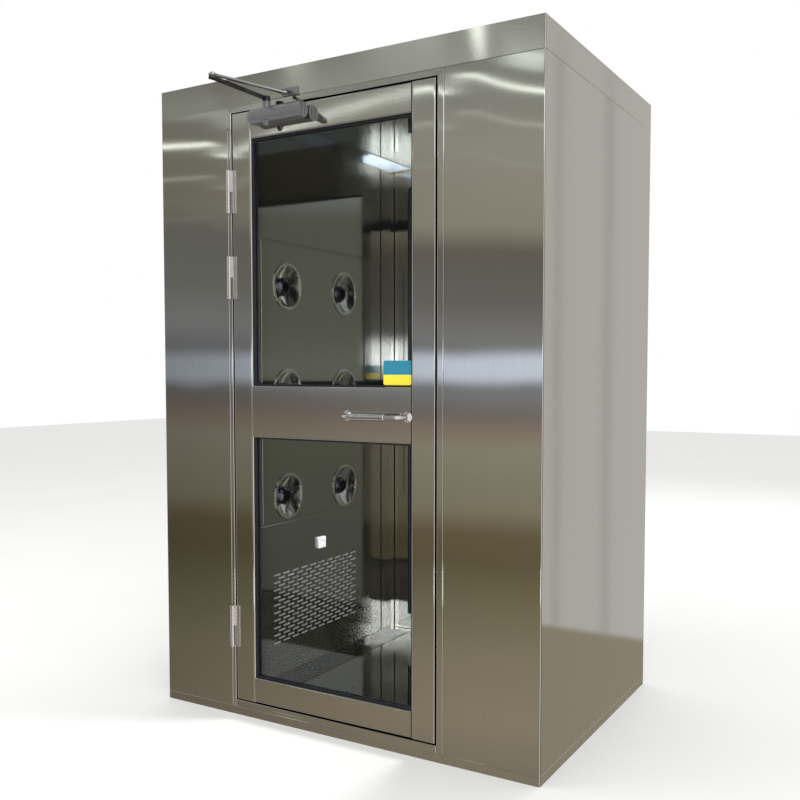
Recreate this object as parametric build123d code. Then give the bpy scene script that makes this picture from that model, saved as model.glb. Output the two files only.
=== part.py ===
from build123d import *
import os

os.makedirs("parts", exist_ok=True)

# Walk-through air shower: a stainless cabin with a glazed door at each end.
# Origin on the floor under the middle of the cabin, +Z up, front door facing -Y.

# Whole cabinet
WIDTH = 1400.0
DEPTH = 1000.0
HEIGHT = 2100.0
HEADER_H = 92.0
BASE_H = 27.0
PANEL_T = 25.0
EDGE = 1.0
FOLD_R = 4.5
HEADER_Z = HEIGHT - HEADER_H
ROOF_T = 20.0
ROOF_DROP = 2.0

# Cabin inside
CABIN_W = 800.0
FRAME_D = 65.0
WALL_T = 20.0
FLOOR_Z = 26.0
FLOOR_T = 4.0
FLOOR_LIP = 31.0
CEILING_LIP = 23.0
CEILING_T = 20.0
UPPER_SEAM_DROP = 403.0
LOWER_SEAM_Z = 612.0
SEAM_HALF = 3.5
SEAM_D = 6.0
STRIP_FRONT_W = 91.0
STRIP_REAR_W = 129.0

# Doorway, a little off the middle of the cabinet
FRAME_SHIFT = -5.0
HINGE_JAMB_W = 13.5
LATCH_JAMB_W = 23.0
HEAD_H = 19.0
SILL_H = 22.5
STOP_COVER = 20.0
STOP_T = 25.0
SILL_STOP_H = 45.0
SILL_LINE_H = 11.0

# Door leaf
DOOR_GAP = 5.0
LEAF_T = 35.0
HINGE_STILE_W = 77.5
LATCH_STILE_W = 80.0
GLASS_FOLD_R = 7.0
TOP_RAIL_H = 87.0
MID_RAIL_DROP = 880.0
MID_RAIL_H = 168.0
BOTTOM_RAIL_H = 81.5
GLASS_T = 8.0
GLASS_RECESS = 16.0
GASKET_W = 5.0
GASKET_D = 5.0

# Hinges
HINGE_IN_JAMB = 4.5
HINGE_OUT = 10.0
HINGE_UP = 246.5
HINGE_DROPS = (527.0, 249.0)
KNUCKLE_R = 6.5
KNUCKLE_L = 69.0
KNUCKLE_GAP = 1.0
HINGE_PIN_R = 4.0
HINGE_FIT = 0.05
HINGE_PIN_L = 50.0
HINGE_BORE_L = 54.0
HINGE_LEAF_T = 3.0
HINGE_LEAF_W = 23.5
LEAF_KNUCKLE_GAP = 5.0
FRAME_LEAF_W = 8.5

# Door closer
CLOSER_FROM_HINGE = 105.0
CLOSER_L = 212.0
CLOSER_DROP = 31.0
CLOSER_R = 24.5
CLOSER_OUT = 27.0
CLOSER_BACK_H = 42.0
CLOSER_BACK_INSET = 14.0
CLOSER_NOSE = 16.0
CLOSER_NOSE_R = 15.0
CAP_SLOT_W = 3.0
CAP_SLOT_H = 31.0
CAP_SLOT_D = 2.0
SPINDLE_FROM_HINGE = 180.0
SPINDLE_OUT = 34.0
SPINDLE_R = 7.0
SPINDLE_FIT = 0.05
SPINDLE_BORE_DROP = 8.0
SPINDLE_END_GAP = 1.0
HUB_GAP = 1.0
BOSS_R = 13.0
BOSS_H = 39.0
CONE_H = 14.0
CONE_SUNK = 4.0
ARM_DROP = 9.0
ARM_T = 6.0
ARM_W = 19.0
HUB_R = 13.0
HUB_RISE = 9.0
ELBOW_OFFSET = -2.0
ELBOW_OUT = 276.0
EYE_R = 12.0
ELBOW_PIN_R = 5.0
ELBOW_FIT = 0.5
ELBOW_PIN_GAP = 1.0
ELBOW_PIN_HEAD = 4.0
ARM_STACK_GAP = 4.0
FOREARM_T = 5.0
FOREARM_W = 15.0
SHOE_FROM_SPINDLE = 66.0
SHOE_OUT = 30.0
SHOE_LEFT = 28.0
SHOE_RIGHT = 33.0
SHOE_RISE = 1.5
SHOE_H = 24.5
SHOE_T = 4.0
SHOE_LUG_GAP = 3.0
SHOE_LUG_W = 26.0
SHOE_PIN_R = 4.0
SHOE_FIT = 0.05
SHOE_PIN_HEAD_R = 7.0
SHOE_PIN_HEAD_T = 2.0
SHOE_PIN_GAP = 1.0

# Pull handle
HANDLE_FROM_STILE = 118.5
HANDLE_DROP = 4.0
HANDLE_SPAN = 213.0
HANDLE_OUT = 50.0
GRIP_L = 116.0
GRIP_R = 11.0
NECK_R = 7.0
FOOT_R = 16.0
FOOT_H = 10.0

# Notice plate, left bare
NOTICE_INSET = 7.5
NOTICE_RISE = 6.0
NOTICE_W = 96.0
NOTICE_H = 73.0
NOTICE_T = 1.0
NOTICE_R = 6.0

# Air nozzles
NOZZLE_FROM_FRONT = 150.0
NOZZLE_FROM_REAR = 141.0
NOZZLE_ABOVE_SEAM = 90.0
NOZZLE_BELOW_SEAM = 152.0
NOZZLE_HOLE_R = 77.0
RING_R = 83.0
RING_BORE_R = 74.0
RING_PROUD = 3.0
RING_EDGE = 1.2
BOWL_DEPTH = 20.0
BOWL_T = 2.5
BALL_R = 38.0
BALL_DEPTH = 39.0
BALL_BORE_R = 20.0
BOWL_THROAT_R = 35.0
BOWL_BULGE = 2.0

# Return-air slots
SLOT_L = 38.0
SLOT_H = 6.0
SLOT_PITCH_Y = 54.0
SLOT_PITCH_Z = 13.6
SLOT_ROWS = 19
SLOTS_LONG_ROW = 10
SLOT_SHIFT_Y = -21.5
SLOT_MID_DROP = 308.0

# Beam sensors
SENSOR_Y = 0.0
SENSOR_DROP = 110.0
SENSOR_W = 50.0
SENSOR_H = 42.0
SENSOR_PROUD = 8.0
SENSOR_R = 5.0
LENS_R = 9.0
LENS_D = 2.0

# Derived planes and centres
FRONT_Y = -DEPTH / 2
WALL_X = CABIN_W / 2
CABIN_Y = DEPTH / 2 - FRAME_D
STOP_Y = FRONT_Y + FRAME_D - STOP_T
JAMB_LEFT_X = FRAME_SHIFT - WALL_X
JAMB_RIGHT_X = FRAME_SHIFT + WALL_X
OPENING_LEFT_X = JAMB_LEFT_X + HINGE_JAMB_W
OPENING_RIGHT_X = JAMB_RIGHT_X - LATCH_JAMB_W
OPENING_BOTTOM_Z = BASE_H + SILL_H
OPENING_TOP_Z = HEADER_Z - HEAD_H
LEAF_LEFT_X = OPENING_LEFT_X + DOOR_GAP
LEAF_RIGHT_X = OPENING_RIGHT_X - DOOR_GAP
LEAF_BOTTOM_Z = OPENING_BOTTOM_Z + DOOR_GAP
LEAF_TOP_Z = OPENING_TOP_Z - DOOR_GAP
GLASS_LEFT_X = LEAF_LEFT_X + HINGE_STILE_W
GLASS_RIGHT_X = LEAF_RIGHT_X - LATCH_STILE_W
TOP_RAIL_BOTTOM_Z = LEAF_TOP_Z - TOP_RAIL_H
MID_RAIL_TOP_Z = LEAF_TOP_Z - MID_RAIL_DROP
MID_RAIL_BOTTOM_Z = MID_RAIL_TOP_Z - MID_RAIL_H
BOTTOM_RAIL_TOP_Z = LEAF_BOTTOM_Z + BOTTOM_RAIL_H
STOP_LEFT_X = OPENING_LEFT_X + STOP_COVER
STOP_RIGHT_X = OPENING_RIGHT_X - STOP_COVER
UPPER_SEAM_Z = HEADER_Z - UPPER_SEAM_DROP
HINGE_X = OPENING_LEFT_X - HINGE_IN_JAMB
HINGE_MIDS = [LEAF_BOTTOM_Z + HINGE_UP] + [LEAF_TOP_Z - drop for drop in HINGE_DROPS]
CLOSER_MID_Z = LEAF_TOP_Z - CLOSER_DROP
ARM_Z = HEADER_Z - ARM_DROP
SPINDLE_X = HINGE_X + SPINDLE_FROM_HINGE
SHOE_X = SPINDLE_X + SHOE_FROM_SPINDLE
HANDLE_MID_X = GLASS_RIGHT_X - HANDLE_FROM_STILE
HANDLE_Z = (MID_RAIL_BOTTOM_Z + MID_RAIL_TOP_Z) / 2 - HANDLE_DROP
PANE_ZS = (
    (BOTTOM_RAIL_TOP_Z, MID_RAIL_BOTTOM_Z),
    (MID_RAIL_TOP_Z, TOP_RAIL_BOTTOM_Z),
)


def block(x0, x1, y0, y1, z0, z1):
    size = (x1 - x0, y1 - y0, z1 - z0)
    centre = ((x0 + x1) / 2, (y0 + y1) / 2, (z0 + z1) / 2)
    return Pos(*centre) * Box(*size)


def front_edges(solid, axis):
    return solid.faces().sort_by(Axis.Y)[0].edges().filter_by(axis)


def front_block(x0, x1, y0, y1, z0, z1):
    """A block whose edges round the -Y face are broken, so a joint shows as a fine line."""
    solid = block(x0, x1, y0, y1, z0, z1)
    return chamfer(solid.faces().sort_by(Axis.Y)[0].edges(), EDGE)


def stile(x_gap, x_glass):
    """An upright of the leaf, rolled over beside the gap and more so beside the glass."""
    low, high = sorted((x_gap, x_glass))
    solid = block(low, high, FRONT_Y, leaf_back, LEAF_BOTTOM_Z, LEAF_TOP_Z)
    gap_edge = front_edges(solid, Axis.Z).sort_by(lambda edge: abs(edge.center().X - x_gap))[0]
    solid = fillet(gap_edge, FOLD_R)
    glass_edge = front_edges(solid, Axis.Z).sort_by(
        lambda edge: abs(edge.center().X - x_glass)
    )[0]
    return fillet(glass_edge, GLASS_FOLD_R)


def rail(z0, z1):
    solid = block(GLASS_LEFT_X, GLASS_RIGHT_X, FRONT_Y, leaf_back, z0, z1)
    return fillet(front_edges(solid, Axis.X), FOLD_R)


def plan_prism(points, z0, z1):
    return Pos(0, 0, z0) * extrude(make_face(Polyline(*points, close=True)), z1 - z0)


def front_prism(points, y0, y1):
    """A prism drawn in x and z on the plane y0 and running back to y1."""
    face = make_face(Polyline(*[(x, y0, z) for x, z in points], close=True))
    return extrude(face, y1 - y0, dir=(0, 1, 0))


def rod(x, y, z0, z1, radius):
    return Pos(x, y, (z0 + z1) / 2) * Cylinder(radius, z1 - z0)


def turned(solids):
    """The same pieces at the rear, half a turn about the middle."""
    return [Rot(0, 0, 180) * solid for solid in solids]


def mirrored(solids):
    return [mirror(solid, Plane.YZ) for solid in solids]


def write(name, solids):
    children = [solid for solid in solids]
    shape = children[0] if len(children) == 1 else Compound(children=children)
    export_step(shape, f"parts/{name}.step")


# Base with a pocket for the floor tray
rim = block(-WIDTH / 2, WIDTH / 2, FRONT_Y, -FRONT_Y, 0, BASE_H)
rim = fillet(rim.edges().filter_by(Axis.Z), FOLD_R)
rim = chamfer(rim.faces().sort_by(Axis.Z)[-1].edges(), EDGE)
tray_x = WALL_X + WALL_T
tray_pocket = block(-tray_x, tray_x, -CABIN_Y, CABIN_Y, FLOOR_Z - FLOOR_T, BASE_H)
base_frame = rim - tray_pocket

floor_plate = block(-tray_x, tray_x, -CABIN_Y, CABIN_Y, FLOOR_Z - FLOOR_T, FLOOR_Z)
floor_lips = [
    block(-tray_x, -WALL_X, -CABIN_Y, CABIN_Y, FLOOR_Z, FLOOR_Z + FLOOR_LIP),
    block(WALL_X, tray_x, -CABIN_Y, CABIN_Y, FLOOR_Z, FLOOR_Z + FLOOR_LIP),
]
floor_tray = floor_plate + floor_lips

# Ceiling tray over cabin and both door frames
CEILING_TOP_Z = HEADER_Z + CEILING_T
back_y = FRONT_Y + PANEL_T
ceiling_plate = block(-tray_x, tray_x, back_y, -back_y, HEADER_Z, CEILING_TOP_Z)
lip_z = HEADER_Z - CEILING_LIP
ceiling_lips = [
    block(-tray_x, -WALL_X, -CABIN_Y, CABIN_Y, lip_z, HEADER_Z),
    block(WALL_X, tray_x, -CABIN_Y, CABIN_Y, lip_z, HEADER_Z),
]
ceiling_tray = ceiling_plate + ceiling_lips


# Outside of the wall sheets: rolled at the four corners, broken at the top and bottom
outside = block(-WIDTH / 2, WIDTH / 2, FRONT_Y, -FRONT_Y, BASE_H, HEADER_Z)
outside = fillet(outside.edges().filter_by(Axis.Z), FOLD_R)
outside = chamfer(outside.faces().sort_by(Axis.Z)[0].edges(), EDGE)
outside = chamfer(outside.faces().sort_by(Axis.Z)[-1].edges(), EDGE)


def corner_panel(x_door, x_corner, side):
    """Front panel from the door frame to the mitred corner of the cabinet."""
    points = [
        (x_door + side * EDGE, FRONT_Y),
        (x_corner, FRONT_Y),
        (x_corner - side * PANEL_T, back_y),
        (x_door, back_y),
        (x_door, FRONT_Y + EDGE),
    ]
    return plan_prism(points, BASE_H, HEADER_Z) & outside


front_panels = [
    corner_panel(JAMB_LEFT_X, -WIDTH / 2, -1),
    corner_panel(JAMB_RIGHT_X, WIDTH / 2, 1),
]

side_points = [
    (WIDTH / 2, FRONT_Y),
    (WIDTH / 2, -FRONT_Y),
    (WIDTH / 2 - PANEL_T, -back_y),
    (WIDTH / 2 - PANEL_T, back_y),
]
side_panel = plan_prism(side_points, BASE_H, HEADER_Z) & outside
side_panels = [side_panel] + mirrored([side_panel])

# Header band and roof
band = block(-WIDTH / 2, WIDTH / 2, FRONT_Y, -FRONT_Y, HEADER_Z, HEIGHT)
band = fillet(band.edges().filter_by(Axis.Z), FOLD_R)
band = chamfer(band.faces().sort_by(Axis.Z)[0].edges(), EDGE)
band = chamfer(band.faces().sort_by(Axis.Z)[-1].edges(), EDGE)
roof_x = WIDTH / 2 - PANEL_T
header_band = band - block(-roof_x, roof_x, back_y, -back_y, HEADER_Z, HEIGHT)
roof_top = HEIGHT - ROOF_DROP
roof_panel = block(-roof_x, roof_x, back_y, -back_y, roof_top - ROOF_T, roof_top)

# Cabin walls, left side drawn and the right side mirrored
wall_bottom = FLOOR_Z + FLOOR_LIP
strip_y0 = -CABIN_Y + STRIP_FRONT_W
strip_y1 = CABIN_Y - STRIP_REAR_W


def wall_panel(y0, y1, z0, z1):
    back = block(-tray_x, -WALL_X - SEAM_D, y0, y1, z0, z1)
    face = block(
        -WALL_X - SEAM_D,
        -WALL_X,
        y0 + SEAM_HALF,
        y1 - SEAM_HALF,
        z0 + SEAM_HALF,
        z1 - SEAM_HALF,
    )
    face = chamfer(face.faces().sort_by(Axis.X)[-1].edges(), EDGE)
    return back + face


upper_wall = wall_panel(-CABIN_Y, CABIN_Y, UPPER_SEAM_Z, lip_z)
strips = [
    wall_panel(-CABIN_Y, strip_y0, LOWER_SEAM_Z, UPPER_SEAM_Z),
    wall_panel(strip_y1, CABIN_Y, LOWER_SEAM_Z, UPPER_SEAM_Z),
]
nozzle_panel = wall_panel(strip_y0, strip_y1, LOWER_SEAM_Z, UPPER_SEAM_Z)
nozzle_ys = (strip_y0 + NOZZLE_FROM_FRONT, strip_y1 - NOZZLE_FROM_REAR)
low_row = LOWER_SEAM_Z + NOZZLE_ABOVE_SEAM
high_row = UPPER_SEAM_Z - NOZZLE_BELOW_SEAM
nozzle_zs = (low_row, (low_row + high_row) / 2, high_row)
nozzle_spots = [(y, z) for y in nozzle_ys for z in nozzle_zs]
for spot_y, spot_z in nozzle_spots:
    hole = Pos(-WALL_X, spot_y, spot_z) * Rot(0, 90, 0) * Cylinder(NOZZLE_HOLE_R, 3 * WALL_T)
    nozzle_panel = nozzle_panel - hole

return_panel = wall_panel(-CABIN_Y, CABIN_Y, wall_bottom, LOWER_SEAM_Z)
slot_places = []
slot_mid_z = LOWER_SEAM_Z - SLOT_MID_DROP
for row in range(SLOT_ROWS):
    count = SLOTS_LONG_ROW - row % 2
    row_z = slot_mid_z + (row - (SLOT_ROWS - 1) / 2) * SLOT_PITCH_Z
    for column in range(count):
        slot_places.append((SLOT_SHIFT_Y + (column - (count - 1) / 2) * SLOT_PITCH_Y, row_z))
slot_plane = Plane(origin=(-tray_x, 0, 0), x_dir=(0, 1, 0), z_dir=(1, 0, 0))
slot_cut = extrude(SlotOverall(SLOT_L, SLOT_H), WALL_T)
return_panel = return_panel - [slot_plane * Pos(y, z) * slot_cut for y, z in slot_places]

# Nozzle pieces drawn about +Z and turned to face into the cabin
ring_profile = make_face(
    Polyline(
        (RING_BORE_R, -WALL_T),
        (NOZZLE_HOLE_R, -WALL_T),
        (NOZZLE_HOLE_R, 0),
        (RING_R, 0),
        (RING_R, RING_PROUD),
        (RING_BORE_R, RING_PROUD),
        close=True,
    )
)
ring_profile = Plane.XZ * ring_profile
ring = revolve(ring_profile, Axis.Z)
ring = fillet(ring.faces().sort_by(Axis.Z)[-1].edges(), RING_EDGE)

bowl_rim = (RING_BORE_R, 0)
bowl_rim_in = (RING_BORE_R - BOWL_T, 0)
throat = (BOWL_THROAT_R, -BOWL_DEPTH)
throat_in = (BOWL_THROAT_R - BOWL_T, -BOWL_DEPTH)
bowl_edge = [
    SagittaArc(bowl_rim, throat, BOWL_BULGE),
    Line(throat, throat_in),
    SagittaArc(throat_in, bowl_rim_in, -BOWL_BULGE),
    Line(bowl_rim_in, bowl_rim),
]
bowl = revolve(Plane.XZ * make_face(bowl_edge), Axis.Z)
ball_at = Pos(0, 0, -BALL_DEPTH)
bowl = bowl - ball_at * Sphere(BALL_R)
ball = ball_at * (Sphere(BALL_R) - Cylinder(BALL_BORE_R, 3 * BALL_R))


def on_left_wall(piece):
    return [Pos(-WALL_X, y, z) * Rot(0, 90, 0) * piece for y, z in nozzle_spots]


nozzle_rings = on_left_wall(ring)
nozzle_bowls = on_left_wall(bowl)
nozzle_balls = on_left_wall(ball)

sensor_x = -WALL_X + SENSOR_PROUD
sensor_z = LOWER_SEAM_Z - SENSOR_DROP
sensor = block(
    -WALL_X,
    sensor_x,
    SENSOR_Y - SENSOR_W / 2,
    SENSOR_Y + SENSOR_W / 2,
    sensor_z - SENSOR_H / 2,
    sensor_z + SENSOR_H / 2,
)
sensor = fillet(sensor.edges().filter_by(Axis.X), SENSOR_R)
sensor = fillet(sensor.faces().sort_by(Axis.X)[-1].edges(), EDGE)
lens_cut = Pos(sensor_x, SENSOR_Y, sensor_z) * Rot(0, 90, 0) * Cylinder(LENS_R, 2 * LENS_D)
sensor = sensor - lens_cut


# Door frame: jambs and head mitred at the front, a stop behind the leaf
def jamb(x_out, x_in, x_stop, side):
    strip = front_prism(
        [
            (x_out, BASE_H),
            (x_in, BASE_H),
            (x_in, OPENING_TOP_Z),
            (x_out, HEADER_Z),
        ],
        FRONT_Y,
        back_y,
    )
    strip = fillet(front_edges(strip, Axis.Z), FOLD_R)
    inner_y = FRONT_Y + FRAME_D
    low, high = sorted((side * tray_x, x_in))
    web = block(low, high, back_y, inner_y, BASE_H, HEADER_Z)
    low, high = sorted((x_in, x_stop))
    stop = block(low, high, STOP_Y, inner_y, BASE_H, HEADER_Z)
    return strip + web + stop


front_jambs = [
    jamb(JAMB_LEFT_X, OPENING_LEFT_X, STOP_LEFT_X, -1),
    jamb(JAMB_RIGHT_X, OPENING_RIGHT_X, STOP_RIGHT_X, 1),
]

head_strip = front_prism(
    [
        (JAMB_LEFT_X, HEADER_Z),
        (OPENING_LEFT_X, OPENING_TOP_Z),
        (OPENING_RIGHT_X, OPENING_TOP_Z),
        (JAMB_RIGHT_X, HEADER_Z),
    ],
    FRONT_Y,
    back_y,
)
head_strip = chamfer(head_strip.faces().sort_by(Axis.Y)[0].edges(), EDGE)
head_web = block(OPENING_LEFT_X, OPENING_RIGHT_X, back_y, STOP_Y, OPENING_TOP_Z, HEADER_Z)
head_stop = block(
    STOP_LEFT_X, STOP_RIGHT_X, STOP_Y, -CABIN_Y, OPENING_TOP_Z - STOP_COVER, HEADER_Z
)
front_head = head_strip + head_web + head_stop

sill_front = front_block(
    OPENING_LEFT_X, OPENING_RIGHT_X, FRONT_Y, STOP_Y, BASE_H, OPENING_BOTTOM_Z
)
sill_stop = block(STOP_LEFT_X, STOP_RIGHT_X, STOP_Y, -CABIN_Y, BASE_H, BASE_H + SILL_STOP_H)
sill_line = Pos(0, FRONT_Y, BASE_H + SILL_LINE_H) * Box(WIDTH, EDGE, EDGE)
front_sill = sill_front + sill_stop - sill_line

# Door leaf
leaf_back = FRONT_Y + LEAF_T
front_stiles = [stile(LEAF_LEFT_X, GLASS_LEFT_X), stile(LEAF_RIGHT_X, GLASS_RIGHT_X)]
rail_zs = (
    (LEAF_BOTTOM_Z, BOTTOM_RAIL_TOP_Z),
    (MID_RAIL_BOTTOM_Z, MID_RAIL_TOP_Z),
    (TOP_RAIL_BOTTOM_Z, LEAF_TOP_Z),
)
front_rails = [rail(z0, z1) for z0, z1 in rail_zs]
glass_y0 = FRONT_Y + GLASS_RECESS
glass_y1 = glass_y0 + GLASS_T
front_glass = [
    block(GLASS_LEFT_X, GLASS_RIGHT_X, glass_y0, glass_y1, z0, z1) for z0, z1 in PANE_ZS
]


def gasket(z0, z1, y0, y1):
    outer = block(GLASS_LEFT_X, GLASS_RIGHT_X, y0, y1, z0, z1)
    inner = block(
        GLASS_LEFT_X + GASKET_W,
        GLASS_RIGHT_X - GASKET_W,
        y0,
        y1,
        z0 + GASKET_W,
        z1 - GASKET_W,
    )
    return outer - inner


front_gaskets = []
for z0, z1 in PANE_ZS:
    front_gaskets.append(gasket(z0, z1, glass_y0 - GASKET_D, glass_y0))
    front_gaskets.append(gasket(z0, z1, glass_y1, glass_y1 + GASKET_D))

# Lift-off hinges: the lower knuckle with its pin is on the frame
hinge_y = FRONT_Y - HINGE_OUT
leaf_plate_y = FRONT_Y - HINGE_LEAF_T
frame_knuckles = []
door_knuckles = []
for mid_z in HINGE_MIDS:
    low_z = mid_z - KNUCKLE_L
    top_z = mid_z + KNUCKLE_L
    lower = rod(HINGE_X, hinge_y, low_z, mid_z - KNUCKLE_GAP / 2, KNUCKLE_R)
    pin = rod(HINGE_X, hinge_y, mid_z - KNUCKLE_GAP / 2, mid_z + HINGE_PIN_L, HINGE_PIN_R)
    plate = block(
        HINGE_X - FRAME_LEAF_W,
        HINGE_X,
        leaf_plate_y,
        FRONT_Y,
        low_z,
        mid_z - KNUCKLE_GAP / 2,
    )
    web = block(
        HINGE_X - HINGE_LEAF_T / 2,
        HINGE_X + HINGE_LEAF_T / 2,
        hinge_y,
        FRONT_Y,
        low_z,
        mid_z - KNUCKLE_GAP / 2,
    )
    frame_knuckles.append(lower + pin + plate + web)
    upper = rod(HINGE_X, hinge_y, mid_z + KNUCKLE_GAP / 2, top_z, KNUCKLE_R)
    plate = block(
        HINGE_X,
        HINGE_X + HINGE_LEAF_W,
        leaf_plate_y,
        FRONT_Y,
        mid_z + KNUCKLE_GAP / 2,
        top_z,
    )
    web = block(
        HINGE_X,
        HINGE_X + KNUCKLE_R,
        hinge_y,
        FRONT_Y - HINGE_LEAF_T,
        mid_z + KNUCKLE_GAP / 2,
        top_z,
    )
    lower_plate = block(
        HINGE_X + KNUCKLE_R + LEAF_KNUCKLE_GAP,
        HINGE_X + HINGE_LEAF_W,
        leaf_plate_y,
        FRONT_Y,
        low_z,
        mid_z + KNUCKLE_GAP / 2,
    )
    groove = block(
        HINGE_X + KNUCKLE_R + LEAF_KNUCKLE_GAP,
        HINGE_X + HINGE_LEAF_W,
        leaf_plate_y,
        leaf_plate_y + HINGE_LEAF_T / 2,
        mid_z - KNUCKLE_GAP / 2,
        mid_z + KNUCKLE_GAP / 2,
    )
    bore = rod(HINGE_X, hinge_y, mid_z, mid_z + HINGE_BORE_L, HINGE_PIN_R + HINGE_FIT)
    door_knuckles.append(upper + plate + web + lower_plate - groove - bore)

# Closer body on the top rail
closer_y = FRONT_Y - CLOSER_OUT
back_half = CLOSER_BACK_H / 2
closer_left_x = HINGE_X + CLOSER_FROM_HINGE
barrel_x = closer_left_x + CLOSER_NOSE
closer_right_x = closer_left_x + CLOSER_L
body_back = block(
    barrel_x,
    closer_right_x - CLOSER_BACK_INSET,
    closer_y,
    FRONT_Y,
    CLOSER_MID_Z - back_half,
    CLOSER_MID_Z + back_half,
)
barrel_l = closer_right_x - barrel_x
barrel_at = Pos(barrel_x, closer_y, CLOSER_MID_Z) * Rot(0, 90, 0)
barrel = barrel_at * Pos(0, 0, barrel_l / 2) * Cylinder(CLOSER_R, barrel_l)
nose = barrel_at * Pos(0, 0, -CLOSER_NOSE / 2) * Cone(CLOSER_NOSE_R, CLOSER_R, CLOSER_NOSE)
closer_body = body_back + barrel + nose
for offset in (-CLOSER_R / 3, CLOSER_R / 3):
    cut = Pos(closer_right_x, closer_y + offset, CLOSER_MID_Z) * Box(
        2 * CAP_SLOT_D, CAP_SLOT_W, CAP_SLOT_H
    )
    closer_body = closer_body - cut
spindle_y = FRONT_Y - SPINDLE_OUT
spindle_bore_z = CLOSER_MID_Z - SPINDLE_BORE_DROP
boss_top_z = CLOSER_MID_Z + BOSS_H
boss = rod(SPINDLE_X, spindle_y, CLOSER_MID_Z, boss_top_z, BOSS_R)
body_bottom = CLOSER_MID_Z - CLOSER_R
cone_z = body_bottom + CONE_SUNK - CONE_H / 2
cone = Pos(SPINDLE_X, spindle_y, cone_z) * Cone(BOSS_R / 2, BOSS_R, CONE_H)
closer_body = closer_body + boss + cone
closer_body = closer_body - rod(
    SPINDLE_X, spindle_y, spindle_bore_z, boss_top_z, SPINDLE_R + SPINDLE_FIT
)


def flat_bar(x0, y0, x1, y1, z0, z1, width):
    """A flat bar between two points, seen from above, square at both ends."""
    start = Vector(x0, y0)
    end = Vector(x1, y1)
    along = (end - start).normalized()
    across = Vector(-along.Y, along.X) * (width / 2)
    corners = [start + across, end + across, end - across, start - across]
    return plan_prism([(c.X, c.Y) for c in corners], z0, z1)


# Main arm with its spindle
elbow_x = SPINDLE_X + ELBOW_OFFSET
elbow_y = FRONT_Y - ELBOW_OUT
arm_top = ARM_Z + ARM_T
hub_top_z = ARM_Z + HUB_RISE
main_arm = flat_bar(SPINDLE_X, spindle_y, elbow_x, elbow_y, ARM_Z, arm_top, ARM_W)
main_arm += rod(SPINDLE_X, spindle_y, boss_top_z + HUB_GAP, hub_top_z, HUB_R)
spindle_end_z = spindle_bore_z + SPINDLE_END_GAP
main_arm += rod(SPINDLE_X, spindle_y, spindle_end_z, hub_top_z, SPINDLE_R)
main_arm += rod(elbow_x, elbow_y, ARM_Z, arm_top, EYE_R)
main_arm -= rod(elbow_x, elbow_y, ARM_Z, arm_top, ELBOW_PIN_R + ELBOW_FIT)

# Forearm above the main arm, its pin stopping short of the main arm's eye
shoe_y = FRONT_Y - SHOE_OUT
forearm_z = arm_top + ARM_STACK_GAP
forearm_top = forearm_z + FOREARM_T
forearm = flat_bar(SHOE_X, shoe_y, elbow_x, elbow_y, forearm_z, forearm_top, FOREARM_W)
forearm += rod(SHOE_X, shoe_y, forearm_z, forearm_top, EYE_R)
forearm += rod(elbow_x, elbow_y, forearm_z, forearm_top, EYE_R)
pin_low_z = arm_top + ELBOW_PIN_GAP
pin_head_z = forearm_top + ELBOW_PIN_HEAD
forearm += rod(elbow_x, elbow_y, pin_low_z, pin_head_z, ELBOW_PIN_R)
forearm -= rod(SHOE_X, shoe_y, forearm_z, forearm_top, SHOE_PIN_R + SHOE_FIT)

# Shoe on the header with its pin
shoe_z = HEADER_Z + SHOE_RISE
lug_z = forearm_top + SHOE_LUG_GAP
lug_top = lug_z + SHOE_T
shoe = block(
    SHOE_X - SHOE_LEFT, SHOE_X + SHOE_RIGHT, FRONT_Y - SHOE_T, FRONT_Y, shoe_z, shoe_z + SHOE_H
)
shoe += block(SHOE_X - SHOE_LUG_W / 2, SHOE_X + SHOE_LUG_W / 2, shoe_y, FRONT_Y, lug_z, lug_top)
shoe += rod(SHOE_X, shoe_y, lug_z, lug_top, SHOE_LUG_W / 2)
head_top = forearm_z - SHOE_PIN_GAP
shoe += rod(SHOE_X, shoe_y, head_top, lug_z, SHOE_PIN_R)
shoe += rod(SHOE_X, shoe_y, head_top - SHOE_PIN_HEAD_T, head_top, SHOE_PIN_HEAD_R)

# Pull handle: grip, two swept necks and flared feet
grip_y = FRONT_Y - HANDLE_OUT
neck_bend_r = HANDLE_OUT - FOOT_H
grip = Pos(HANDLE_MID_X, grip_y, HANDLE_Z) * Rot(0, 90, 0) * Cylinder(GRIP_R, GRIP_L)
grip = fillet(grip.edges().filter_by(GeomType.CIRCLE), GRIP_R / 3)
handle = grip
for side in (-1, 1):
    foot_x = HANDLE_MID_X + side * HANDLE_SPAN / 2
    bend_x = foot_x - side * neck_bend_r
    straight_x = HANDLE_MID_X + side * (GRIP_L / 2 - GRIP_R)
    low, high = sorted((straight_x, bend_x))
    straight = Pos((low + high) / 2, grip_y, HANDLE_Z) * Rot(0, 90, 0)
    handle += straight * Cylinder(NECK_R, high - low)
    section = Plane(origin=(bend_x, grip_y, HANDLE_Z), z_dir=(side, 0, 0)) * Circle(NECK_R)
    bend_axis = Axis((bend_x, grip_y + neck_bend_r, HANDLE_Z), (0, 0, side))
    handle += revolve(section, bend_axis, 90)
    foot = Pos(foot_x, FRONT_Y - FOOT_H / 2, HANDLE_Z) * Rot(90, 0, 0) * Cone(
        FOOT_R, NECK_R, FOOT_H
    )
    handle += foot

notice_right_x = GLASS_RIGHT_X - NOTICE_INSET
notice_z = MID_RAIL_TOP_Z + NOTICE_RISE
notice_plate = block(
    notice_right_x - NOTICE_W,
    notice_right_x,
    glass_y0 - NOTICE_T,
    glass_y0,
    notice_z,
    notice_z + NOTICE_H,
)
notice_plate = fillet(notice_plate.edges().filter_by(Axis.Y), NOTICE_R)

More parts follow.
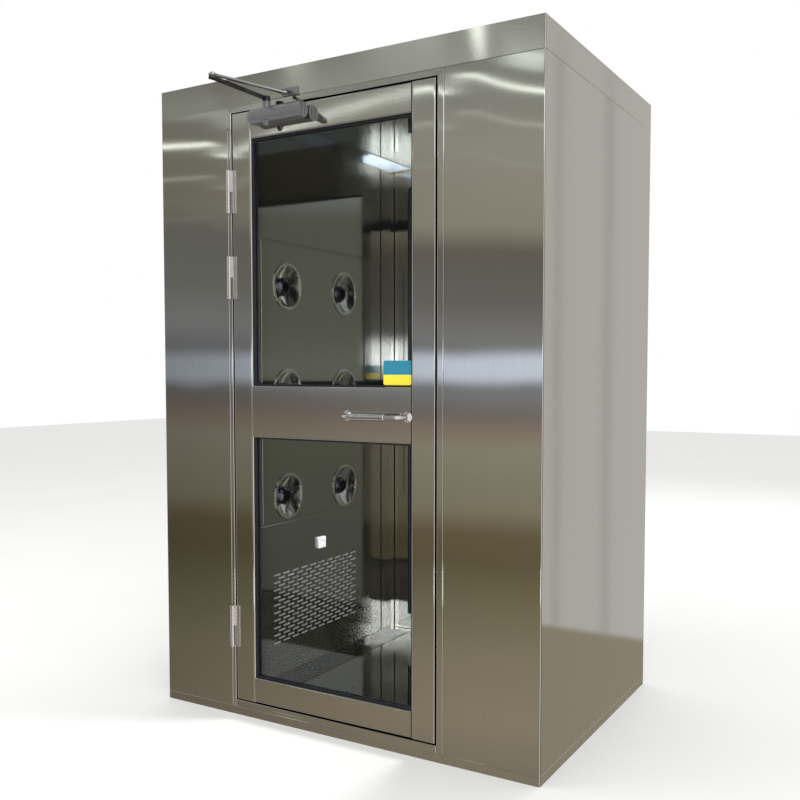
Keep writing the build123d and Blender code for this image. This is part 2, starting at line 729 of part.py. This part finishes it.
write("base_frame", [base_frame])
write("floor_tray", [floor_tray])
write("ceiling_tray", [ceiling_tray])
write("front_panels", front_panels)
write("rear_panels", turned(front_panels))
write("side_panels", side_panels)
write("header_band", [header_band])
write("roof_panel", [roof_panel])
write("upper_wall_panels", [upper_wall] + mirrored([upper_wall]))
write("nozzle_panels", [nozzle_panel] + mirrored([nozzle_panel]))
write("wall_strips", strips + mirrored(strips))
write("return_air_panels", [return_panel] + mirrored([return_panel]))
write("nozzle_rings", nozzle_rings + mirrored(nozzle_rings))
write("nozzle_bowls", nozzle_bowls + mirrored(nozzle_bowls))
write("nozzle_balls", nozzle_balls + mirrored(nozzle_balls))
write("beam_sensors", [sensor] + mirrored([sensor]))
write("notice_plate", [notice_plate])

paired = {
    "jambs": front_jambs,
    "head": [front_head],
    "sill": [front_sill],
    "frame_knuckles": frame_knuckles,
    "closer_shoe": [shoe],
    "door_stiles": front_stiles,
    "door_rails": front_rails,
    "door_glass": front_glass,
    "glass_gaskets": front_gaskets,
    "door_knuckles": door_knuckles,
    "closer_body": [closer_body],
    "closer_main_arm": [main_arm],
    "closer_forearm": [forearm],
    "pull_handle": [handle],
}
for name, solids in paired.items():
    write("front_" + name, solids)
    write("rear_" + name, turned(solids))
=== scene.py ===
import math

import bpy
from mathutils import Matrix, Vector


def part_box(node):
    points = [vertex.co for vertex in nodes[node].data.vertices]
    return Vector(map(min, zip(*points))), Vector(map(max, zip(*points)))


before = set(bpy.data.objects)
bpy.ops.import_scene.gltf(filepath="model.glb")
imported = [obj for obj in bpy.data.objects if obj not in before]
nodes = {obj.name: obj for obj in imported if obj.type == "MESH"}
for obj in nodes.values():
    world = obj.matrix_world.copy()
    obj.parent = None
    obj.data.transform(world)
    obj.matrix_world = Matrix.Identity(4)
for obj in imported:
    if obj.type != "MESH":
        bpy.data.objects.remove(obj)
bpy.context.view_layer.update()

# Camera, fitted to the photograph's perspective
IMAGE_PX = 800
FOCAL_PX = 926.4
CENTRE_PX = (402.0, 421.2)
SENSOR_MM = 36.0
CAMERA_AT = (1.650, -2.850, 1.151)
CAMERA_YAW = math.radians(30.66)
CAMERA_PITCH = math.radians(-3.08)
FARTHEST_SEEN = 100.0

# Finish colours, linear
STEEL = (0.60, 0.585, 0.53)
INNER_STEEL = (0.50, 0.50, 0.46)
FLOOR_STEEL = (0.36, 0.36, 0.34)
CEILING_STEEL = (0.56, 0.61, 0.68)
POLISHED = (0.72, 0.71, 0.68)
HINGE_STEEL = (0.86, 0.82, 0.79)
RIM_STEEL = (0.80, 0.80, 0.76)
BOWL_STEEL = (0.74, 0.74, 0.72)
# The nozzle ball's steel is darkened to a bluish near-black: painted shade of the bore it sits in
BALL_STEEL_IN_PAINTED_SHADE = (0.16, 0.16, 0.19)
CLOSER_SILVER = (0.23, 0.23, 0.24)
MAIN_ARM_STEEL = (0.10, 0.10, 0.10)
FOREARM_STEEL = (0.75, 0.74, 0.72)
SENSOR_WHITE = (0.92, 0.93, 0.95)
GLAZING_RUBBER = (0.012, 0.014, 0.02)
PLATE_YELLOW = (0.85, 0.72, 0.04)
PLATE_TEAL = (0.02, 0.22, 0.33)
# The darker and the lighter tone of each
GLASS_FILM_TONES = ((0.010, 0.014, 0.013), (0.03, 0.036, 0.034))
PREFILTER_TONES = ((0.70, 0.71, 0.72), (0.86, 0.86, 0.86))
PALE_FLOOR_TONES = ((0.80, 0.80, 0.79), (0.84, 0.84, 0.83))

# Size of the marks in the finishes, as noise cells to a metre along each axis
GRAIN_FINE = 1400.0
GRAIN_STREAK = 170.0
GRAIN_LONG = 3.0
SMEARS = (7.0, 7.0, 3.0)
SHEET_WAVES = (3.6, 3.6, 2.0)
POLISHING_FOG = (14.0, 14.0, 14.0)
TURNING_MARKS = (300.0, 300.0, 300.0)
GLASS_FILM = (3.0, 3.0, 1.5)
PLATE_FADE = (60.0, 60.0, 60.0)
PREFILTER_WEAVE = (400.0, 400.0, 400.0)
FLOOR_MOTTLE = (1.5, 1.5, 1.5)
NOISE_ROUGHNESS = 0.6

# Bumps: strength, and depth in metres
GRAIN_BUMP = (0.04, 0.00012)
PEEL_BUMP = (0.15, 0.0004)
SHEET_WAVE_DEPTH = 0.02

# How far colour and roughness wander, as parts of their own value
SATIN_ROUGHNESS = (0.85, 1.2)
POLISHED_TONES = (0.94, 1.04)
POLISHED_ROUGHNESS = (0.7, 1.5)
EVEN_TONES = (0.92, 1.05)
EVEN_ROUGHNESS = (0.85, 1.15)
# Roughness from low to high
GLASS_ROUGHNESS = (0.01, 0.03)
PLATE_ROUGHNESS = (0.25, 0.45)

UPRIGHT = 2
QUARTER_TURN = 0.25
GLASS_ALPHA = 0.07
CLOSER_METALLIC = 0.6
PALE_FLOOR_ROUGHNESS = 0.8
PLATE_SPLIT = 0.42
NOZZLE_RING_R = 0.083
NOZZLE_ROWS = 3
CABIN_WALL_X = 0.400
SLOT_SHOW = 0.0015
PANEL_MARGIN = 0.03


def new_material(name):
    material = bpy.data.materials.new(name)
    material.use_nodes = True
    return material, material.node_tree, material.node_tree.nodes["Principled BSDF"]


def calc(tree, operation, first, second):
    """One Math node; either side is a socket or a number."""
    node = tree.nodes.new("ShaderNodeMath")
    node.operation = operation
    for side, value in enumerate((first, second)):
        if isinstance(value, (int, float)):
            node.inputs[side].default_value = value
        else:
            tree.links.new(value, node.inputs[side])
    return node.outputs["Value"]


def vector_calc(tree, operation, *sides):
    """One Vector Math node; each side is a socket or three numbers."""
    node = tree.nodes.new("ShaderNodeVectorMath")
    node.operation = operation
    for side, value in enumerate(sides):
        if isinstance(value, tuple):
            node.inputs[side].default_value = value
        else:
            tree.links.new(value, node.inputs[side])
    return node.outputs["Vector"]


def inverse(tree, value):
    """1 less a 0 to 1 value."""
    return calc(tree, "SUBTRACT", 1.0, value)


def size_of(tree, value):
    """The value without its sign."""
    return calc(tree, "ABSOLUTE", value, 0.0)


def axes_of(tree, output):
    """The X, Y and Z sockets of one Texture Coordinate output."""
    coords = tree.nodes.new("ShaderNodeTexCoord")
    parts = tree.nodes.new("ShaderNodeSeparateXYZ")
    tree.links.new(coords.outputs[output], parts.inputs["Vector"])
    return parts.outputs


def stretched_noise(tree, scale, detail=3.0):
    """Noise on the object's own metres, with its own scale along each axis."""
    coords = tree.nodes.new("ShaderNodeTexCoord")
    mapping = tree.nodes.new("ShaderNodeMapping")
    noise = tree.nodes.new("ShaderNodeTexNoise")
    mapping.inputs["Scale"].default_value = scale
    noise.inputs["Scale"].default_value = 1.0
    noise.inputs["Detail"].default_value = detail
    noise.inputs["Roughness"].default_value = NOISE_ROUGHNESS
    tree.links.new(coords.outputs["Object"], mapping.inputs["Vector"])
    tree.links.new(mapping.outputs["Vector"], noise.inputs["Vector"])
    return noise.outputs["Fac"]


def spread(tree, value, low, high, start=0.0, end=1.0):
    """Maps start to end onto low to high."""
    ranged = tree.nodes.new("ShaderNodeMapRange")
    ranged.inputs["From Min"].default_value = start
    ranged.inputs["From Max"].default_value = end
    ranged.inputs["To Min"].default_value = low
    ranged.inputs["To Max"].default_value = high
    tree.links.new(value, ranged.inputs["Value"])
    return ranged.outputs["Result"]


def stepped(tree, value, start, end):
    """0 before start, 1 past end, smooth between."""
    node = tree.nodes.new("ShaderNodeMapRange")
    node.interpolation_type = "SMOOTHSTEP"
    node.inputs["From Min"].default_value = start
    node.inputs["From Max"].default_value = end
    tree.links.new(value, node.inputs["Value"])
    return node.outputs["Result"]


def strip(tree, value, centre, half, soft):
    """1 within half of centre, with edges soft wide."""
    off = size_of(tree, calc(tree, "SUBTRACT", value, centre))
    return inverse(tree, stepped(tree, off, half, half + soft))


def add_bump(tree, height, strength, distance, below=None):
    bump = tree.nodes.new("ShaderNodeBump")
    bump.inputs["Strength"].default_value = strength
    bump.inputs["Distance"].default_value = distance
    tree.links.new(height, bump.inputs["Height"])
    if below is not None:
        tree.links.new(below, bump.inputs["Normal"])
    return bump.outputs["Normal"]


def blended(tree, factor, first, second, mode="MIX"):
    """One colour Mix node; each input is a socket, a number or a colour."""
    node = tree.nodes.new("ShaderNodeMix")
    node.data_type = "RGBA"
    node.blend_type = mode
    for name, value in (("Factor", factor), ("A", first), ("B", second)):
        if isinstance(value, (int, float)):
            node.inputs[name].default_value = value
        elif isinstance(value, tuple):
            node.inputs[name].default_value = (*value, 1.0)
        else:
            tree.links.new(value, node.inputs[name])
    return node.outputs["Result"]


def lit(tree, room, mask, colour):
    """Adds a light of one colour where mask is 1."""
    return blended(tree, mask, room, colour, "ADD")


def colour_ramp(tree, value, stops):
    ramp = tree.nodes.new("ShaderNodeValToRGB")
    while len(ramp.color_ramp.elements) < len(stops):
        ramp.color_ramp.elements.new(0.5)
    for element, (place, colour) in zip(ramp.color_ramp.elements, stops):
        element.position = place
        element.color = (*colour, 1.0)
    tree.links.new(value, ramp.inputs["Fac"])
    return ramp.outputs["Color"]


def times(numbers, amount):
    return tuple(n * amount for n in numbers)


def vary_colour(tree, shader, value, colour, down, up):
    """The colour, from down to up times itself with a 0 to 1 value."""
    shade = blended(tree, value, times(colour, down), times(colour, up))
    tree.links.new(shade, shader.inputs["Base Color"])


def vary_roughness(tree, shader, value, low, high):
    tree.links.new(spread(tree, value, low, high), shader.inputs["Roughness"])


def along_grain(grain, fine):
    scale = [fine] * 3
    scale[grain] = GRAIN_LONG
    return scale


def brushed_steel(name, grain, colour, roughness, waviness=0.0, stretch=0.9, streaks=0.05):
    """Satin sheet. grain is the axis (0, 1 or 2) that the brushing runs along."""
    material, tree, shader = new_material(name)
    lines = stretched_noise(tree, along_grain(grain, GRAIN_FINE))
    bands = stretched_noise(tree, along_grain(grain, GRAIN_STREAK), detail=4.0)
    smears = stretched_noise(tree, SMEARS, detail=5.0)
    shader.inputs["Metallic"].default_value = 1.0
    shader.inputs["Anisotropic"].default_value = stretch
    shader.inputs["Anisotropic Rotation"].default_value = 0.0 if grain == UPRIGHT else QUARTER_TURN
    vary_colour(tree, shader, bands, colour, 1.0 - streaks, 1.0 + streaks)
    vary_roughness(tree, shader, smears, *times(SATIN_ROUGHNESS, roughness))
    normal = add_bump(tree, lines, *GRAIN_BUMP)
    if waviness:
        waves = stretched_noise(tree, SHEET_WAVES, detail=1.0)
        normal = add_bump(tree, waves, waviness, SHEET_WAVE_DEPTH, normal)
    tree.links.new(normal, shader.inputs["Normal"])
    return material


def polished_steel(name, colour, roughness):
    material, tree, shader = new_material(name)
    fog = stretched_noise(tree, POLISHING_FOG, detail=5.0)
    shader.inputs["Metallic"].default_value = 1.0
    vary_colour(tree, shader, fog, colour, *POLISHED_TONES)
    vary_roughness(tree, shader, fog, *times(POLISHED_ROUGHNESS, roughness))
    return material


def spun_steel(name, colour, roughness, stretch):
    """Bright steel turned about each nozzle's own axis, so its lights run out as rays."""
    low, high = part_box("nozzle_rings")
    first = (0.0, low.y + NOZZLE_RING_R, low.z + NOZZLE_RING_R)
    columns_apart = high.y - low.y - 2 * NOZZLE_RING_R
    rows_apart = (high.z - low.z - 2 * NOZZLE_RING_R) / (NOZZLE_ROWS - 1)
    cell_high = (0.5, columns_apart / 2, rows_apart / 2)
    material, tree, shader = new_material(name)
    coords = tree.nodes.new("ShaderNodeTexCoord")
    shifted = vector_calc(tree, "SUBTRACT", coords.outputs["Object"], first)
    from_axis = vector_calc(tree, "WRAP", shifted, cell_high, times(cell_high, -1.0))
    round_axis = vector_calc(tree, "CROSS_PRODUCT", (1.0, 0.0, 0.0), from_axis)
    tree.links.new(round_axis, shader.inputs["Tangent"])
    marks = stretched_noise(tree, TURNING_MARKS)
    shader.inputs["Metallic"].default_value = 1.0
    shader.inputs["Anisotropic"].default_value = stretch
    vary_colour(tree, shader, marks, colour, *EVEN_TONES)
    vary_roughness(tree, shader, marks, *times(EVEN_ROUGHNESS, roughness))
    return material


def enamel(name, colour, roughness, grain_size, metallic=0.0):
    """Sprayed enamel or moulded plastic with a fine orange peel."""
    material, tree, shader = new_material(name)
    peel = stretched_noise(tree, (grain_size,) * 3, detail=2.0)
    shader.inputs["Metallic"].default_value = metallic
    vary_colour(tree, shader, peel, colour, *EVEN_TONES)
    vary_roughness(tree, shader, peel, *times(EVEN_ROUGHNESS, roughness))
    tree.links.new(add_bump(tree, peel, *PEEL_BUMP), shader.inputs["Normal"])
    return material


def clear_glass(name):
    material, tree, shader = new_material(name)
    film = stretched_noise(tree, GLASS_FILM, detail=5.0)
    tree.links.new(blended(tree, film, *GLASS_FILM_TONES), shader.inputs["Base Color"])
    vary_roughness(tree, shader, film, *GLASS_ROUGHNESS)
    shader.inputs["Alpha"].default_value = GLASS_ALPHA
    return material


def two_tone_plate(name):
    """Plain teal over plain yellow, with no lettering."""
    low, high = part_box("notice_plate")
    split_z = low.z + PLATE_SPLIT * (high.z - low.z)
    material, tree, shader = new_material(name)
    above = calc(tree, "GREATER_THAN", axes_of(tree, "Object")["Z"], split_z)
    colour = blended(tree, above, PLATE_YELLOW, PLATE_TEAL)
    tree.links.new(colour, shader.inputs["Base Color"])
    vary_roughness(tree, shader, stretched_noise(tree, PLATE_FADE), *PLATE_ROUGHNESS)
    return material


def slotted_sheet(name):
    """The inner sheet, with the pale prefilter showing down in its slots."""
    material = brushed_steel(name, UPRIGHT, INNER_STEEL, 0.08, 0.012)
    tree = material.node_tree
    shader = tree.nodes["Principled BSDF"]
    sheet = shader.inputs["Base Color"].links[0].from_socket
    satin = shader.inputs["Roughness"].links[0].from_socket
    parts = axes_of(tree, "Object")
    deep = calc(tree, "GREATER_THAN", size_of(tree, parts["X"]), CABIN_WALL_X + SLOT_SHOW)
    low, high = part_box("return_air_panels")
    for axis, bottom, top in (("Y", low.y, high.y), ("Z", low.z, high.z)):
        off = size_of(tree, calc(tree, "SUBTRACT", parts[axis], (bottom + top) / 2))
        inside = calc(tree, "LESS_THAN", off, (top - bottom) / 2 - PANEL_MARGIN)
        deep = calc(tree, "MULTIPLY", deep, inside)
    weave = stretched_noise(tree, PREFILTER_WEAVE, detail=2.0)
    fabric = blended(tree, weave, *PREFILTER_TONES)
    tree.links.new(blended(tree, deep, sheet, fabric), shader.inputs["Base Color"])
    tree.links.new(inverse(tree, deep), shader.inputs["Metallic"])
    tree.links.new(calc(tree, "MAXIMUM", satin, deep), shader.inputs["Roughness"])
    return material


def finish_nodes(names, material):
    for name in names:
        slots = nodes[name].data.materials
        slots.clear()
        slots.append(material)


def both(*names):
    """The names of the front door's and the rear door's pieces."""
    return [side + name for side in ("front_", "rear_") for name in names]


def finish_the_cabinet():
    upright = brushed_steel("upright_sheet", UPRIGHT, STEEL, 0.05, 0.03)
    flank = brushed_steel("flank_sheet", UPRIGHT, STEEL, 0.035, 0.004, stretch=0.3, streaks=0.015)
    frame_steel = brushed_steel("door_frame_sheet", UPRIGHT, STEEL, 0.05, 0.02)
    rail = brushed_steel("door_rail_sheet", 0, STEEL, 0.05, 0.02, stretch=0.5)
    across = brushed_steel("cross_sheet", 0, STEEL, 0.07, 0.03, stretch=1.0)
    inner = brushed_steel("inner_sheet", UPRIGHT, INNER_STEEL, 0.08, 0.012)
    floor_steel = polished_steel("floor_sheet", FLOOR_STEEL, 0.03)
    ceiling_steel = polished_steel("ceiling_sheet", CEILING_STEEL, 0.05)
    finish_nodes(["front_panels", "rear_panels"], upright)
    finish_nodes(["side_panels"], flank)
    finish_nodes(["base_frame", "header_band", "roof_panel"], across)
    finish_nodes(both("jambs", "door_stiles"), frame_steel)
    finish_nodes(both("head", "sill", "door_rails"), rail)
    finish_nodes(["upper_wall_panels", "nozzle_panels", "wall_strips"], inner)
    finish_nodes(["return_air_panels"], slotted_sheet("slotted_sheet"))
    finish_nodes(["floor_tray"], floor_steel)
    finish_nodes(["ceiling_tray"], ceiling_steel)


def finish_the_fittings():
    chrome = polished_steel("polished_fitting", POLISHED, 0.07)
    hinge = polished_steel("hinge_steel", HINGE_STEEL, 0.22)
    rim = polished_steel("nozzle_rim", RIM_STEEL, 0.12)
    bowl = spun_steel("spun_bowl", BOWL_STEEL, 0.11, 0.9)
    # The ball's near-black colour is painted shade of the bore, on the same spun steel as the bowl
    ball = spun_steel("ball_in_painted_shade", BALL_STEEL_IN_PAINTED_SHADE, 0.14, 0.6)
    silver = enamel("closer_enamel", CLOSER_SILVER, 0.3, 900.0, CLOSER_METALLIC)
    dark_arm = brushed_steel("main_arm_steel", 1, MAIN_ARM_STEEL, 0.25, stretch=0.3)
    pale_arm = brushed_steel("forearm_steel", 1, FOREARM_STEEL, 0.25, stretch=0.3)
    white = enamel("sensor_shell", SENSOR_WHITE, 0.4, 700.0)
    rubber = enamel("glazing_rubber", GLAZING_RUBBER, 0.35, 500.0)
    finish_nodes(both("frame_knuckles", "door_knuckles"), hinge)
    finish_nodes(both("pull_handle"), chrome)
    finish_nodes(["nozzle_rings"], rim)
    finish_nodes(["nozzle_bowls"], bowl)
    finish_nodes(["nozzle_balls"], ball)
    finish_nodes(both("closer_body", "closer_shoe"), silver)
    finish_nodes(both("closer_main_arm"), dark_arm)
    finish_nodes(both("closer_forearm"), pale_arm)
    finish_nodes(["beam_sensors"], white)
    finish_nodes(both("glass_gaskets"), rubber)
    finish_nodes(both("door_glass"), clear_glass("door_pane"))
    finish_nodes(["notice_plate"], two_tone_plate("plain_two_tone"))


def place_camera():
    data = bpy.data.cameras.new("photo_camera")
    camera = bpy.data.objects.new("photo_camera", data)
    bpy.context.scene.collection.objects.link(camera)
    camera.location = CAMERA_AT
    camera.rotation_euler = (math.pi / 2 + CAMERA_PITCH, 0.0, CAMERA_YAW)
    data.sensor_width = SENSOR_MM
    data.lens = FOCAL_PX / IMAGE_PX * SENSOR_MM
    data.shift_x = (IMAGE_PX / 2 - CENTRE_PX[0]) / IMAGE_PX
    data.shift_y = (CENTRE_PX[1] - IMAGE_PX / 2) / IMAGE_PX
    data.clip_end = FARTHEST_SEEN
    bpy.context.scene.camera = camera


# The room that the steel reflects. A height is the sine of the angle above the horizon,
# and a place aside is how far a direction runs toward +X for each metre it runs in depth.
HEIGHT_SPAN = 0.5
LEAST_DEPTH = 0.02
# Room in front of the cabinet, from the floor up: height and colour
FRONT_ROOM = (
    (-0.50, (0.26, 0.24, 0.19)),
    (-0.40, (0.30, 0.27, 0.215)),
    (-0.36, (0.36, 0.31, 0.24)),
    (-0.30, (0.32, 0.285, 0.205)),
    (-0.25, (0.24, 0.22, 0.143)),
    (-0.205, (0.17, 0.145, 0.085)),
    (-0.175, (0.19, 0.155, 0.095)),
    (-0.15, (0.31, 0.285, 0.215)),
    (-0.085, (0.365, 0.34, 0.28)),
    (-0.066, (0.33, 0.27, 0.225)),
    (-0.048, (0.24, 0.22, 0.21)),
    (-0.028, (0.27, 0.28, 0.31)),
    (0.018, (0.27, 0.28, 0.31)),
    (0.034, (0.275, 0.28, 0.30)),
    (0.070, (0.20, 0.19, 0.18)),
    (0.105, (0.175, 0.172, 0.155)),
    (0.125, (0.19, 0.165, 0.145)),
    (0.150, (0.375, 0.36, 0.30)),
    (0.185, (0.39, 0.375, 0.325)),
    (0.235, (0.41, 0.405, 0.365)),
    (0.300, (0.30, 0.31, 0.29)),
    (0.50, (0.30, 0.30, 0.28)),
)
# Room behind the cabinet
REAR_ROOM = (
    (-0.50, (0.10, 0.10, 0.09)),
    (-0.26, (0.10, 0.10, 0.09)),
    (-0.22, (0.13, 0.135, 0.12)),
    (-0.10, (0.15, 0.15, 0.11)),
    (-0.02, (0.19, 0.195, 0.15)),
    (0.006, (0.24, 0.25, 0.21)),
    (0.05, (0.19, 0.20, 0.155)),
    (0.16, (0.185, 0.19, 0.15)),
    (0.19, (0.36, 0.38, 0.40)),
    (0.28, (0.42, 0.44, 0.46)),
    (0.50, (0.34, 0.36, 0.38)),
)
FRONT_TO_REAR = (-0.12, 0.12)
# The front room's far side is darker and its bands sit higher than on the near side
FAR_TO_NEAR_ASIDE = (-1.05, -0.38)
FAR_SIDE_LIFT = 0.024
FAR_SIDE_TONE = (0.58, 0.58, 0.58)
NEAR_SIDE_TONE = (1.04, 1.04, 1.04)
# Each strip of light: centre, half width and softness
WINDOW_HEIGHT = (0.004, 0.006, 0.018)
WINDOW_BAND = (0.55, 0.64, 0.82)
WINDOW_LEAST = 0.30
WINDOW_GAIN = 0.75
FAR_HAZE_HEIGHT = (0.10, 0.045, 0.04)
FAR_HAZE = (0.075, 0.085, 0.085)
# Each lamp row: height over the brightest row, half width, softness and colour
LAMP_ROWS = (
    (0.034, 0.004, 0.010, (0.22, 0.25, 0.24)),
    (0.0, 0.0007, 0.0022, (1.9, 2.1, 2.0)),
    (-0.032, 0.0004, 0.0020, (0.30, 0.34, 0.34)),
    (-0.072, 0.0004, 0.0020, (0.05, 0.06, 0.06)),
)
# The brightest row's own height in the slightly wavy sheets, by its place aside
LAMP_ROW_SAG = (
    (-1.000, 0.2250),
    (-0.935, 0.2296),
    (-0.909, 0.2312),
    (-0.878, 0.2195),
    (-0.852, 0.2258),
    (-0.700, 0.2620),
    (-0.577, 0.2837),
    (-0.550, 0.2870),
    (-0.535, 0.2822),
    (-0.520, 0.2900),
    (-0.505, 0.2977),
    (-0.477, 0.2936),
    (-0.450, 0.2885),
    (-0.400, 0.2818),
)
SAG_SPAN = (0.20, 0.32)
# A glare by the brightest row: its strip aside, its strip over the row, and its colour
LAMP_GLARE_ASIDE = (-0.425, 0.018, 0.020)
LAMP_GLARE_HEIGHT = (0.025, 0.005, 0.006)
LAMP_GLARE = (0.62, 0.70, 0.68)
# Lamp ends over the header: place aside, half width, softness and colour
LAMP_ENDS = (
    (-0.492, 0.004, 0.007, (2.2, 2.4, 2.3)),
    (-0.596, 0.030, 0.060, (0.30, 0.32, 0.31)),
    (-0.775, 0.008, 0.025, (1.6, 1.8, 1.7)),
)
LAMP_END_HEIGHT = (0.42, 0.08, 0.03)
# Bright walls to either side, mostly caught by the rolled edges: from, to and colour
NEAR_WALL = (0.78, 1.00, (0.90, 0.88, 0.94))
FAR_WALL = (-1.30, -2.10, (0.62, 0.62, 0.66))
# Lamps, a window and bright floor that mostly the cabin's far corner shows, twice reflected
LAMPS_BESIDE = (0.625, 0.055, 0.045)
BESIDE_HEIGHTS = (
    (0.255, 0.015, 0.030, (4.4, 4.7, 5.4)),
    (0.017, 0.006, 0.018, (2.9, 3.1, 3.5)),
    (-0.227, 0.012, 0.013, (5.5, 5.8, 6.2)),
)
# Pale wall and brown floor of the rear room, which the flank reflects, up to a place aside
PALE_WALL_END = (0.46, 0.52)
PALE_WALL = (0.60, 0.59, 0.575)
PALE_WALL_JOINTS = (0.387, 0.3286)
JOINT_HALF = 0.0012
JOINT_SHADE = (0.30, 0.29, 0.28)
BROWN_FLOOR = (0.345, 0.315, 0.25)
FLOOR_EDGE_SLOPE = -0.290
FLOOR_EDGE_SOFT = 0.010
# What every ray but a reflected one meets
PLAIN_WHITE = (1.0, 1.0, 1.0)


def by_height(tree, height, stops):
    place = spread(tree, height, 0.0, 1.0, -HEIGHT_SPAN, HEIGHT_SPAN)
    return colour_ramp(tree, place, [(0.5 + h / (2 * HEIGHT_SPAN), colour) for h, colour in stops])


def lamp_row_height(tree, aside):
    first, last = LAMP_ROW_SAG[0][0], LAMP_ROW_SAG[-1][0]
    low, high = SAG_SPAN
    place = spread(tree, aside, 0.0, 1.0, first, last)
    sag = tree.nodes.new("ShaderNodeFloatCurve")
    points = sag.mapping.curves[0].points
    while len(points) < len(LAMP_ROW_SAG):
        points.new(0.5, 0.5)
    for point, (at, height) in zip(points, LAMP_ROW_SAG):
        point.location = ((at - first) / (last - first), (height - low) / (high - low))
    sag.mapping.update()
    tree.links.new(place, sag.inputs["Value"])
    return spread(tree, sag.outputs["Value"], low, high)


def front_room(tree, aside, height):
    nearer = stepped(tree, aside, *FAR_TO_NEAR_ASIDE)
    farther = inverse(tree, nearer)
    lowered = calc(tree, "SUBTRACT", height, calc(tree, "MULTIPLY", farther, FAR_SIDE_LIFT))
    tone = blended(tree, nearer, FAR_SIDE_TONE, NEAR_SIDE_TONE)
    room = blended(tree, 1.0, by_height(tree, lowered, FRONT_ROOM), tone, "MULTIPLY")
    gain = calc(tree, "ADD", WINDOW_LEAST, calc(tree, "MULTIPLY", nearer, WINDOW_GAIN))
    window = calc(tree, "MULTIPLY", strip(tree, height, *WINDOW_HEIGHT), gain)
    room = lit(tree, room, window, WINDOW_BAND)
    haze = calc(tree, "MULTIPLY", farther, strip(tree, height, *FAR_HAZE_HEIGHT))
    room = lit(tree, room, haze, FAR_HAZE)
    row = calc(tree, "SUBTRACT", height, lamp_row_height(tree, aside))
    for at, half, soft, colour in LAMP_ROWS:
        room = lit(tree, room, strip(tree, row, at, half, soft), colour)
    glare_aside = strip(tree, aside, *LAMP_GLARE_ASIDE)
    glare = calc(tree, "MULTIPLY", glare_aside, strip(tree, row, *LAMP_GLARE_HEIGHT))
    room = lit(tree, room, glare, LAMP_GLARE)
    over_header = strip(tree, height, *LAMP_END_HEIGHT)
    for at, half, soft, colour in LAMP_ENDS:
        end = calc(tree, "MULTIPLY", over_header, strip(tree, aside, at, half, soft))
        room = lit(tree, room, end, colour)
    for start, end, colour in (NEAR_WALL, FAR_WALL):
        room = blended(tree, stepped(tree, aside, start, end), room, colour)
    beside = strip(tree, aside, *LAMPS_BESIDE)
    for at, half, soft, colour in BESIDE_HEIGHTS:
        lamp = calc(tree, "MULTIPLY", beside, strip(tree, height, at, half, soft))
        room = lit(tree, room, lamp, colour)
    return room


def rear_room(tree, aside, height, slope):
    room = by_height(tree, height, REAR_ROOM)
    over_floor = stepped(tree, slope, FLOOR_EDGE_SLOPE - FLOOR_EDGE_SOFT, FLOOR_EDGE_SLOPE)
    first, second = (
        strip(tree, aside, at, JOINT_HALF, JOINT_HALF) for at in PALE_WALL_JOINTS
    )
    wall = blended(tree, calc(tree, "ADD", first, second), PALE_WALL, JOINT_SHADE)
    wall = blended(tree, inverse(tree, over_floor), wall, BROWN_FLOOR)
    return blended(tree, stepped(tree, aside, *PALE_WALL_END), wall, room)


def room_light():
    world = bpy.data.worlds.new("plain_room")
    bpy.context.scene.world = world
    world.use_nodes = True
    tree = world.node_tree
    direction = axes_of(tree, "Generated")
    x, y, z = (direction[axis] for axis in "XYZ")
    depth = calc(tree, "MAXIMUM", size_of(tree, y), LEAST_DEPTH)
    aside = calc(tree, "DIVIDE", x, depth)
    slope = calc(tree, "DIVIDE", z, depth)
    front = front_room(tree, aside, z)
    rear = rear_room(tree, aside, z, slope)
    room = blended(tree, stepped(tree, y, *FRONT_TO_REAR), front, rear)
    seen = tree.nodes.new("ShaderNodeLightPath")
    sky = blended(tree, seen.outputs["Is Glossy Ray"], PLAIN_WHITE, room)
    tree.links.new(sky, tree.nodes["Background"].inputs["Color"])


FLOOR_WIDTH = 30.0
# Each softbox: name, place, width, power, and the point it is turned to
CABIN_FILL = ("cabin_fill", (0.25, -0.10, 1.30), 0.30, 14.0, (-0.40, 0.0, 0.70))
ROOM_SOFTBOXES = (
    ("key_softbox", (3.0, -4.5, 4.0), 3.0, 120.0, (0.0, 0.0, 1.0)),
    ("fill_softbox", (-4.0, -3.0, 3.5), 3.0, 60.0, (0.0, 0.0, 1.0)),
    ("rear_softbox", (1.0, 5.0, 4.0), 3.0, 80.0, (0.0, 0.0, 1.0)),
)


def softbox(name, at, width, power, aim):
    data = bpy.data.lights.new(name, "AREA")
    data.size = width
    data.energy = power
    light = bpy.data.objects.new(name, data)
    bpy.context.scene.collection.objects.link(light)
    light.location = at
    along_x, along_y, along_z = (b - a for a, b in zip(at, aim))
    light.rotation_euler = (
        math.atan2(math.hypot(along_x, along_y), -along_z),
        0.0,
        math.atan2(along_y, along_x) - math.pi / 2,
    )
    light.visible_glossy = False
    return light


def studio():
    bpy.ops.mesh.primitive_plane_add(size=FLOOR_WIDTH, location=(0.0, 0.0, 0.0))
    floor = bpy.context.object
    floor.name = "pale_floor"
    floor.visible_glossy = False
    material, tree, shader = new_material("pale_floor")
    mottle = stretched_noise(tree, FLOOR_MOTTLE)
    tree.links.new(blended(tree, mottle, *PALE_FLOOR_TONES), shader.inputs["Base Color"])
    shader.inputs["Roughness"].default_value = PALE_FLOOR_ROUGHNESS
    floor.data.materials.append(material)
    softbox(*CABIN_FILL).visible_camera = False
    for box in ROOM_SOFTBOXES:
        softbox(*box)


finish_the_cabinet()
finish_the_fittings()
place_camera()
room_light()
studio()
bpy.context.scene.view_settings.view_transform = "Standard"
